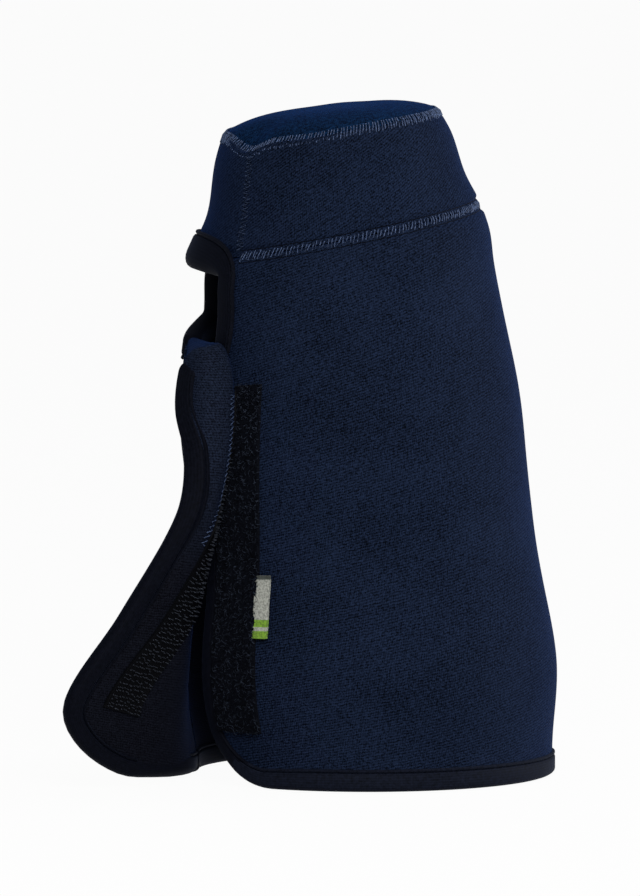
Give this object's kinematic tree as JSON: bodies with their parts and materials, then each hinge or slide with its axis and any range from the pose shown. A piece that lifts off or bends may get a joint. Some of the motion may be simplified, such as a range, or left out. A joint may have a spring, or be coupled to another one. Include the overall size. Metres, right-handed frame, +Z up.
{
  "type": "lens pouch",
  "caption": "Soft tapered neoprene pouch that slips over a lens from its open hem, with a closed crown, a side window and a hook-and-loop flap.",
  "frame": {"origin": "on the floor under the middle of the bounding box, with the flap hanging open as pictured", "axes": "+Z up from the open hem to the closed crown; +X to the right as seen from the slit side; -Y towards the viewer of the picture"},
  "size_m": [0.1698, 0.132, 0.2321],
  "materials": {
    "neoprene": "navy knit-faced neoprene, matt with a slight sheen",
    "lining": "near-black knit lining, matt",
    "binding": "dark navy elastic binding tape",
    "loop": "black brushed loop pile",
    "hook": "black hook tape with fine rows",
    "thread": "grey-blue sewing thread",
    "tab": "woven ribbon, pale grey with plain green stripes"
  },
  "bodies": {
    "pouch": {"body_panel": "neoprene", "collar_panel": "neoprene", "crown_panel": "neoprene", "lapel_panel": "neoprene", "lapel_margin": "lining", "loop_tape": "loop", "slit_binding": "binding", "hem_binding": "binding", "window_binding": "binding", "lapel_binding": "binding", "neck_seam": "thread", "crown_seam": "thread", "collar_seam": "thread", "side_tab": "tab"},
    "flap": {"flap_panel": "lining", "flap_binding": "binding", "hook_tape": "hook"}
  },
  "joints": [
    {"name": "flap_fold", "type": "hinge", "parent": "pouch", "child": "flap", "pos_m": [-0.04938, -0.03298, 0.004], "axis": [0.1809, -0.1769, 0.9675], "range_deg": [-10, 90]}
  ]
}
